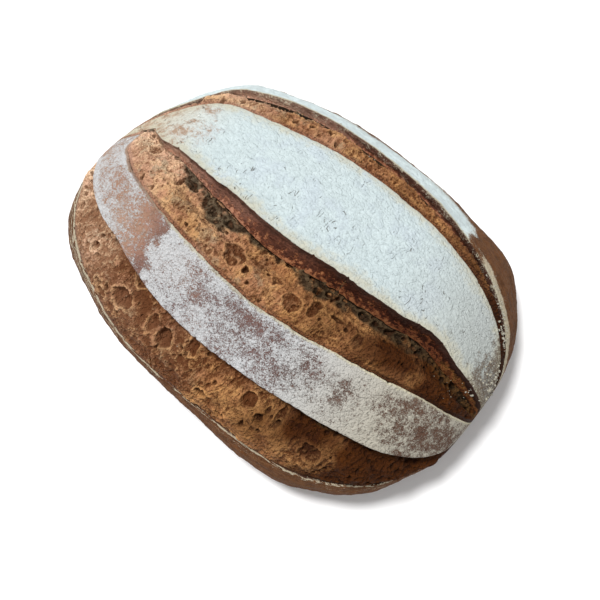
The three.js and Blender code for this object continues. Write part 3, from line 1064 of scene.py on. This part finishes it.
def ear_colour(kit, face, baked):
    """A torn ear: painted shade under its edge, then mauve-brown and mealy, with ragged toasted crumb at its
    foot.
    """
    lines = kit.noise(1.3, 4, 0.65, vector=kit.stretched((0.4, 1.0, 0.6)))
    spots = kit.noise(3.0, 4, 0.7)
    meal = kit.noise(0.8, 3, 0.75)
    dark, pale = kit.stages(baked, EAR_FACE), kit.stages(baked, EAR_SPOT)
    tone = (spots - 0.5) * 1.8 + (lines - 0.5) * 1.6 + (meal - 0.5) * 2.0 + 0.4
    base = kit.blend(tone.clamped(), dark, pale)
    golden = (face + (spots - 0.5) * 1.2).between(0.35, 0.65) * baked.between(0.76, 0.88)
    base = kit.blend(golden * 0.75, base, kit.blend(meal.between(0.4, 0.6), *GOLDEN_EAR))
    # Painted shade: the face is darkened right under the ear's overhanging edge.
    base = kit.blend((face + (spots - 0.5) * 0.8).between(0.42, 0.05) * 0.7, base, EAR_EDGE_SHADE)
    rag = face + (spots - 0.5) * 2.6 + (lines - 0.5) * 1.2
    base = kit.blend(rag.between(0.66, 0.8) * 0.6, base, TOASTED_RAG)
    flecks = (spots + (meal - 0.5) * 0.5).between(0.58, 0.64) * face.between(0.3, 0.6)
    base = kit.blend(flecks * 0.28, base, kit.stages(baked, CRUMB_LIGHT))
    base = kit.blend(rag.between(0.88, 1.0) * 0.8, base, kit.stages(baked, CRUMB_PINK))
    # Painted shade: the hidden core and the foot of each ear's face, where no light reaches, are coloured
    # near black.
    return kit.blend(face.between(1.2, 1.6), base, HOLE_SHADE)


def wide_crust_material():
    kit = Kit("floured_crust")
    face, from_ear, from_lip = (kit.attribute(key) for key in ("face", "from_ear", "from_lip"))
    baked = toast(kit)
    x = along_loaf(kit)
    patches = kit.noise(20, 4, 0.6)
    mottle = kit.noise(5, 4, 0.65)
    grit = kit.noise(0.7, 4, 0.75)
    along = kit.stretched((0.6, 1.0, 0.8), rotation=(0, 0, SCORE_TURN))
    strokes = kit.noise(1.7, 4, 0.7, 0.8, along)
    edge = from_ear.least(from_lip) + (mottle - 0.5) * 10 + (patches - 0.5) * 12 + (strokes - 0.5) * 8
    bare = x.between(-0.45, -0.85) * 0.42 + (patches - 0.5) * 2.2 * x.between(-0.3, -0.6)
    bare = bare + (mottle - 0.5) * 1.4 * x.between(-0.45, -0.7) + x.between(-0.5, -0.7) * 0.12
    bare = bare + (x + (mottle - 0.5) * 0.3).between(0.80, 0.91) * 0.85
    skin = kit.blend(mottle.between(0.4, 0.6), *WIDE_SKIN)
    skin = kit.blend(x.between(0.2, 0.8), skin, WIDE_SKIN_DARK)
    tone = (mottle - 0.5) * 1.6 + (strokes - 0.5) * 1.6 + 0.4
    white = kit.blend(tone.clamped(), FLOUR_COOL, FLOUR_SHADE)
    white = kit.blend(patches.between(0.48, 0.66) * 0.3, white, FLOUR_BLUE)
    white = kit.blend(x.between(-0.5, -0.95) * 0.8, white, FLOUR_WARM)
    # Painted shade: the flour greys towards the blunt end, as if less light fell there.
    white = kit.blend(x.between(0.25, 0.9) * 0.8, white, FLOUR_END_SHADE)
    white = kit.blend(edge.between(8.0, -1.0) * 0.75, white, FLOUR_CREAM)
    white = kit.blend(grit.between(0.52, 0.68) * 0.28, white, FLOUR_GREY)
    cover = (bare + (grit - 0.5) * 1.6 + (strokes - 0.5) * 1.4).between(1.0, 0.3)
    base = kit.blend(cover * 0.88 + 0.12, skin, white)
    across = kit.stretched((1.0, 0.42, 0.6), rotation=(0, 0, SCORE_TURN))
    line = kit.noise(5.0, 2, 0.4, 0.5, across).apart(0.5)
    where = (patches + from_ear.between(32, 6) * 0.12).between(0.50, 0.57)
    where = kit.noise(4.5, 1).between(0.60, 0.63) * where
    crack = line.between(0.014, 0.005) * where * from_ear.between(0.0, 2.0)
    base = kit.blend(crack * 0.7, base, CRACK)
    base = kit.blend(from_lip.between(0.8, 0.2) * 0.5, base, BARE_LIP)
    base = kit.blend(face.between(0.0, 0.05), base, ear_colour(kit, face, baked))
    height = mottle + kit.noise(1.7, 2, 0.5, 0.8, along) * 1.8
    height = height + kit.noise(1.1, 1, 0.5) * 0.8 - crack * 0.8
    return kit.finish(base, 0.92, height, 0.8)


def narrow_crust_material():
    kit = Kit("speckled_crust")
    face, from_ear, from_lip = (kit.attribute(key) for key in ("face", "from_ear", "from_lip"))
    baked = toast(kit)
    x = along_loaf(kit)
    patches = kit.noise(16, 4, 0.6)
    mottle = kit.noise(4.5, 4, 0.65)
    speckle = kit.noise(0.75, 4, 0.7)
    grit = kit.noise(0.35, 3, 0.7)
    clumps = kit.noise(1.8, 3, 0.65)
    density = 0.05 + (patches - 0.5) * 0.8 + (mottle - 0.5) * 0.6 + (clumps - 0.5) * 0.7
    density = density + from_lip.between(8.0, 1.5) * 0.12 + from_ear.between(7.0, 1.0) * 0.10
    density = density + x.between(-0.60, -0.50) * x.between(-0.25, -0.42) * 0.14
    patch = (x + (patches - 0.5) * 0.4).between(-0.44, -0.52)
    patch = patch * (x + (mottle - 0.5) * 0.3).between(-0.70, -0.58)
    density = density - patch * 0.34
    density = density + x.between(0.25, 0.5) * (0.13 + (patches - 0.5) * 0.7) - x.between(0.62, 0.8) * 0.23
    cover = (density + (speckle - 0.5) * 1.3 + (grit - 0.5) * 0.8).between(-0.15, 0.17)
    thin, spot = kit.stages(baked, THIN_SKIN), kit.stages(baked, EAR_SPOT)
    skin = kit.blend(mottle.between(0.42, 0.6) * 0.6, thin, spot)
    skin = kit.blend(x.between(0.3, 0.6) * 0.6, skin, NARROW_SKIN_DARK)
    white = kit.blend(grit.between(0.4, 0.6), *FLOUR_THIN)
    white = kit.blend(x.between(0.1, 0.75) * 0.85, white, FLOUR_STALE)
    white = kit.blend((from_lip + (mottle - 0.5) * 8).between(2.2, 0.5) * 0.8, white, FLOUR_CREAM)
    base = kit.blend(cover * 0.92 + 0.02, skin, white)
    rim = (from_lip + (speckle - 0.5) * 3).between(1.1, 0.5) * (0.35 + x.between(-0.2, 0.4) * 0.5)
    base = kit.blend(rim, base, FLOUR_RIM)
    outline = x.between(-0.45, -0.75) * from_lip.between(2.2, 0.9)
    base = kit.blend(outline * 0.8, base, kit.stages(baked, EAR_FACE))
    base = kit.blend(face.between(0.0, 0.05), base, ear_colour(kit, face, baked))
    height = mottle * 0.8 + kit.noise(1.6, 2, 0.5) * 2.4 + kit.noise(1.0, 1, 0.5) + cover * 0.25
    return kit.finish(base, 0.9, height, 0.8)


def crumb_material():
    kit = Kit("torn_crumb")
    pit, rim, bare, crevice, lip, crest, lump = (
        kit.attribute(key) for key in ("pit", "rim", "raw", "crevice", "lip", "crest", "lump")
    )
    baked = toast(kit)
    y = kit.node("SeparateXYZ", {}, {0: kit.place}, 1) / MM
    fibre = kit.noise(1.1, 4, 0.7, 0.4, kit.stretched((1.0, 0.4, 0.5), rotation=(0, 0, TEAR_TURN)))
    blotch = kit.noise(5.5, 4, 0.62)
    broad = kit.noise(15, 3, 0.6)
    fine = kit.noise(0.8, 3, 0.75)
    # Painted light and shade: crest and lump make the crumb lighter on its crests and darker in its hollows,
    # over its own random tone.
    tone = (fibre - 0.5) * 1.6 + (blotch - 0.5) * 1.5 + (fine - 0.5) * 2.4 + crest * 0.6 + lump * 0.15
    shaded = y.between(-25, -50) * baked.between(0.70, 0.42) * 0.66
    shaded = shaded + y.between(34, 50) * baked.between(0.25, 0.5) * 0.2
    tone = (tone + 0.53 - shaded).clamped()
    deep, light, pink, raw = (
        kit.stages(baked, shades) for shades in (CRUMB_DEEP, CRUMB_LIGHT, CRUMB_PINK, CRUMB_RAW)
    )
    base = kit.blend(tone, deep, light)
    pinkness = (broad * 0.6 + blotch * 0.4).between(0.44, 0.56)
    base = kit.blend(pinkness * 0.7, base, kit.blend(tone, deep, pink))
    pale = kit.noise(8, 3, 0.6).between(0.54, 0.62) * (1 - baked).between(0.25, 0.7)
    base = kit.blend((pale * 0.55).largest(bare * 0.25), base, kit.blend(tone, deep, raw))
    base = kit.blend(rim * 0.55, base, light)
    # The crevice: its raw crumb is darkened most of the way to near black as painted shade, with near-black
    # painted shadow in the gaps between its strands, and toasted webs at the blunt end.
    strand = (fibre * 0.5 + fine * 0.5 + crest * 0.16).between(0.42, 0.64)
    web = kit.blend(strand, WEB_GAP_SHADE, kit.blend(0.77, raw, HOLE_SHADE))
    web = kit.blend(baked.between(0.72, 0.85) * 0.75, web, kit.blend(tone, HOLE_SHADE, WEB_DARK))
    base = kit.blend(crevice * kit.noise(7, 3).between(0.3, 0.46) * 0.92, base, web)
    skin = kit.blend(fine.between(0.4, 0.6), kit.stages(baked, EAR_FACE), pink)
    lip_shade = y.between(-25, -50) * 0.3 + 0.15
    base = kit.blend(lip * 0.8, base, kit.blend(lip_shade, skin, HOLE_SHADE))
    # Painted shade: bubbles and pores are coloured darker inside, the deeper they are for their size.
    base = kit.blend(pit.between(0.1, 0.9) * 0.85, base, kit.blend(0.5, deep, HOLE_SHADE))
    torn = kit.stretched((1.0, 0.45, 0.6), rotation=(0, 0, TEAR_TURN))
    height = kit.noise(1.5, 2, 0.5, 0.4, torn) * 2.2
    height = height + kit.noise(1.0, 1, 0.5) * 1.2 + blotch * 1.2
    return kit.finish(base, 0.75, height, 1.0)


def body_material():
    kit = Kit("baked_crust")
    near_edge, far_edge, face, under = (kit.attribute(k) for k in ("near_edge", "far_edge", "face", "base"))
    baked = toast(kit)
    x = along_loaf(kit)
    z = kit.node("SeparateXYZ", {}, {0: kit.place}, 2) / MM
    patches = kit.noise(24, 4, 0.6)
    mottle = kit.noise(6, 4, 0.6)
    speckle = kit.noise(0.8, 4, 0.75)
    streak = kit.noise(2.2, 4, 0.65, 0.3, kit.stretched((0.16, 0.9, 1.3)))
    skin = kit.blend(mottle.between(0.32, 0.68), *FLANK)
    skin = kit.blend(speckle.between(0.5, 0.66) * 0.45, skin, FLANK_SPECKLE)
    skin = kit.blend(streak.between(0.48, 0.62) * 0.4, skin, FLANK_STREAK)
    skin = kit.blend(z.between(20.0, 2.0) * 0.6, skin, FLANK_FOOT)
    skin = kit.blend(baked.between(0.4, 1.0) * 0.4, skin, FLANK_BAKED)
    ripple = near_edge * 2.4 + (mottle - 0.5) * 18
    ring = ripple.math("SINE", ripple).between(0.45, 0.95)
    blunt = x.between(0.5, 0.7) * z.between(30.0, 42.0)
    far_dust = far_edge.between(26.0, 12.0) * (x + (patches - 0.5) * 0.6).between(0.64, 0.44)
    near_dust = near_edge.between(2.4, 0.5) * streak.between(0.42, 0.54)
    near_dust = near_dust + ring * near_edge.between(14.0, 4.0) * 0.55
    dust = far_dust * 1.2 + near_dust * 0.9 + x.between(-0.55, -0.9) * 0.2
    dust = dust + x.between(-0.05, -0.35) * near_edge.between(20.0, 8.0) * 0.3
    dust = dust + blunt * far_edge.between(7, 3) * 0.9 + x.between(0.5, 0.7) * 0.16 - 0.2
    dust = dust + (patches - 0.5) * 1.4 + (streak - 0.5)
    cover = (speckle - 0.5 + (dust - 0.45) * 0.6).between(-0.05, 0.16)
    cool = kit.blend(mottle.between(0.4, 0.6), FLOUR_BRIGHT, FLOUR_COOL)
    white = kit.blend(far_dust, FLOUR_FLANK, cool)
    white = kit.blend(far_edge.between(2.0, 0.3), white, FLOUR_CREAM)
    base = kit.blend(cover * 0.9, skin, white)
    sole = kit.blend(kit.noise(9, 5, 0.65).between(0.4, 0.6), *SOLE)
    sole = kit.blend(speckle.between(0.56, 0.68) * 0.6, sole, SOLE_FLOUR)
    base = kit.blend(under * z.between(5.0, 1.0), base, sole)
    torn = ear_colour(kit, face, (baked - 0.2).clamped())
    flecks = (speckle + (mottle - 0.5) * 0.6).between(0.56, 0.62) * face.between(0.9, 0.3)
    base = kit.blend(face.between(0.0, 0.05), base, kit.blend(flecks * 0.7, torn, FLOUR_CREAM))
    height = mottle * 1.2 + streak * 1.6 + kit.noise(1.4, 2, 0.5) * 1.2
    return kit.finish(base, 0.85, height, 0.8)


def flour_material():
    kit = Kit("loose_flour")
    fine = kit.noise(0.5, 3, 0.6)
    base = kit.blend(fine.between(0.35, 0.65), *FLOUR_LUMP)
    return kit.finish(base, 0.95, fine, 0.3)


# ---------------------------------------------------------------- add-on


class LoafSizes(bpy.types.PropertyGroup):
    """Sizes of the loaf."""

    length: bpy.props.FloatProperty(
        name="Length", description="Tip to tip", default=LOAF_SIZE.x, unit="LENGTH"
    )
    width: bpy.props.FloatProperty(
        name="Width", description="Across the loaf", default=LOAF_SIZE.y, unit="LENGTH"
    )
    height: bpy.props.FloatProperty(
        name="Height", description="From the table to the ears", default=LOAF_SIZE.z, unit="LENGTH"
    )
    ear_lift: bpy.props.FloatProperty(
        name="Ear lift", description="How far the ears stand up, 1 as baked", default=1.0, min=0, max=2
    )
    cut_depth: bpy.props.FloatProperty(
        name="Cut depth", description="How deep the crevices are, 1 as baked", default=1.0, min=0.3, max=1.5
    )


class StageLook(bpy.types.PropertyGroup):
    """The floor, the light and the camera."""

    floor: bpy.props.FloatVectorProperty(
        name="Floor", description="Colour of the floor", subtype="COLOR", default=(0.95, 0.95, 0.95)
    )
    key: bpy.props.FloatProperty(name="Key", description="Strength of the main light", default=3.3)
    fill: bpy.props.FloatProperty(name="Fill", description="Strength of the light all round", default=0.5)
    lens: bpy.props.FloatProperty(name="Lens", description="Focal length in millimetres", default=61.6)


class LOAF_OT_body(bpy.types.Operator):
    """Model the rims, the flanks and the underside"""

    bl_idname = "loaf.body"
    bl_label = "Loaf body"

    def execute(self, context):
        loaf = LoafCurve(context.scene.loaf_sizes)
        finish_piece(body_piece(loaf, rows=400, seed=101), body_material())
        return {"FINISHED"}


class LOAF_OT_crust(bpy.types.Operator):
    """Model the two floured strips of skin between the cuts"""

    bl_idname = "loaf.crust"
    bl_label = "Crust strips"

    def execute(self, context):
        loaf = LoafCurve(context.scene.loaf_sizes)
        wide = crust_strip(loaf, "crust_wide", "far", "centre", rows=520, skin_columns=146, seed=201)
        finish_piece(wide, wide_crust_material())
        narrow = crust_strip(loaf, "crust_narrow", "centre", "near", rows=600, skin_columns=100, seed=301)
        finish_piece(narrow, narrow_crust_material())
        return {"FINISHED"}


class LOAF_OT_crumb(bpy.types.Operator):
    """Model the torn crumb in the three cuts"""

    bl_idname = "loaf.crumb"
    bl_label = "Torn crumb"

    def execute(self, context):
        loaf = LoafCurve(context.scene.loaf_sizes)
        material = crumb_material()
        for name, columns, seed in (("far", 70, 401), ("centre", 104, 501), ("near", 116, 601)):
            finish_piece(crumb_piece(loaf, name, CRUMB_ROWS, columns, seed), material)
        return {"FINISHED"}


class LOAF_OT_flour(bpy.types.Operator):
    """Scatter lumps of loose flour on the loaf"""

    bl_idname = "loaf.flour"
    bl_label = "Loose flour"

    def execute(self, context):
        loaf = LoafCurve(context.scene.loaf_sizes)
        names = ("crust_wide", "crust_narrow", "crumb_far", "crumb_centre", "crumb_near", "loaf_body")
        clumps = flour_clumps(loaf, [bpy.data.objects[name] for name in names], seed=701)
        finish_piece(clumps, flour_material())
        return {"FINISHED"}


CAMERA_AZIMUTH, CAMERA_ELEVATION = 38.5, 78.0
CAMERA_DISTANCE = 0.6
CAMERA_TARGET = Vector((0, 0, 0.04))
CAMERA_AIM_RIGHT, CAMERA_AIM_UP = 0.0056, -0.0145
KEY_FROM = (-0.58, 0.02, 1.5)
KEY_SPREAD = 14.0
FLOOR_GAP = 0.0004


class LOAF_OT_stage(bpy.types.Operator):
    """Set the floor, the lights and the camera"""

    bl_idname = "loaf.stage"
    bl_label = "Stage"

    def execute(self, context):
        look = context.scene.loaf_stage
        deselect_all()
        bpy.ops.mesh.primitive_plane_add(size=6.0, location=(0, 0, LOAF_LOW.z - FLOOR_GAP))
        floor = context.active_object
        floor.name = "floor"
        paint = bpy.data.materials.new("floor_paint")
        paint.use_nodes = True
        shader = next(n for n in paint.node_tree.nodes if n.type == "BSDF_PRINCIPLED")
        shader.inputs["Base Color"].default_value = (*look.floor, 1)
        shader.inputs["Roughness"].default_value = 0.9
        floor.data.materials.append(paint)

        azimuth, elevation = math.radians(CAMERA_AZIMUTH), math.radians(CAMERA_ELEVATION)
        right = Vector((math.cos(azimuth), math.sin(azimuth), 0))
        back = Vector((math.sin(azimuth), -math.cos(azimuth), 0)) * math.cos(elevation)
        back.z = math.sin(elevation)
        up = back.cross(right)
        eye = CAMERA_TARGET + back * CAMERA_DISTANCE
        aim = CAMERA_TARGET + right * CAMERA_AIM_RIGHT + up * CAMERA_AIM_UP
        back = (eye - aim).normalized()
        right = (right - back * right.dot(back)).normalized()
        up = back.cross(right)
        bpy.ops.object.camera_add()
        camera = context.active_object
        turn = Matrix((right, up, back)).transposed().to_4x4()
        camera.matrix_world = Matrix.Translation(eye) @ turn
        camera.data.lens = look.lens
        camera.data.sensor_width = 36
        context.scene.camera = camera

        bpy.ops.object.light_add(type="SUN")
        key = context.active_object
        key.name = "key"
        key.data.energy = look.key
        key.data.angle = math.radians(KEY_SPREAD)
        key.rotation_euler = Vector(KEY_FROM).to_track_quat("Z", "Y").to_euler()
        world = bpy.data.worlds.new("soft_room")
        world.use_nodes = True
        world.node_tree.nodes["Background"].inputs["Color"].default_value = (1, 1, 1, 1)
        world.node_tree.nodes["Background"].inputs["Strength"].default_value = look.fill
        context.scene.world = world
        context.scene.view_settings.view_transform = "Standard"
        return {"FINISHED"}


class LOAF_PT_panel(bpy.types.Panel):
    """Lists the loaf's sizes and the steps that build it"""

    bl_label = "Rye Bread Loaf"
    bl_idname = "LOAF_PT_panel"
    bl_space_type = "VIEW_3D"
    bl_region_type = "UI"
    bl_category = "Loaf"

    def draw(self, context):
        for group in (context.scene.loaf_sizes, context.scene.loaf_stage):
            for key in group.__annotations__:
                self.layout.prop(group, key)
        for operator in OPERATORS:
            self.layout.operator(operator.bl_idname)


OPERATORS = (LOAF_OT_body, LOAF_OT_crust, LOAF_OT_crumb, LOAF_OT_flour, LOAF_OT_stage)
CLASSES = (LoafSizes, StageLook, *OPERATORS, LOAF_PT_panel)


def register():
    for cls in CLASSES:
        bpy.utils.register_class(cls)
    bpy.types.Scene.loaf_sizes = bpy.props.PointerProperty(type=LoafSizes)
    bpy.types.Scene.loaf_stage = bpy.props.PointerProperty(type=StageLook)


def unregister():
    del bpy.types.Scene.loaf_stage
    del bpy.types.Scene.loaf_sizes
    for cls in reversed(CLASSES):
        bpy.utils.unregister_class(cls)


def main():
    register()
    bpy.ops.loaf.stage()
    bpy.ops.loaf.body()
    bpy.ops.loaf.crust()
    bpy.ops.loaf.crumb()
    bpy.ops.loaf.flour()


if __name__ == "__main__":
    main()
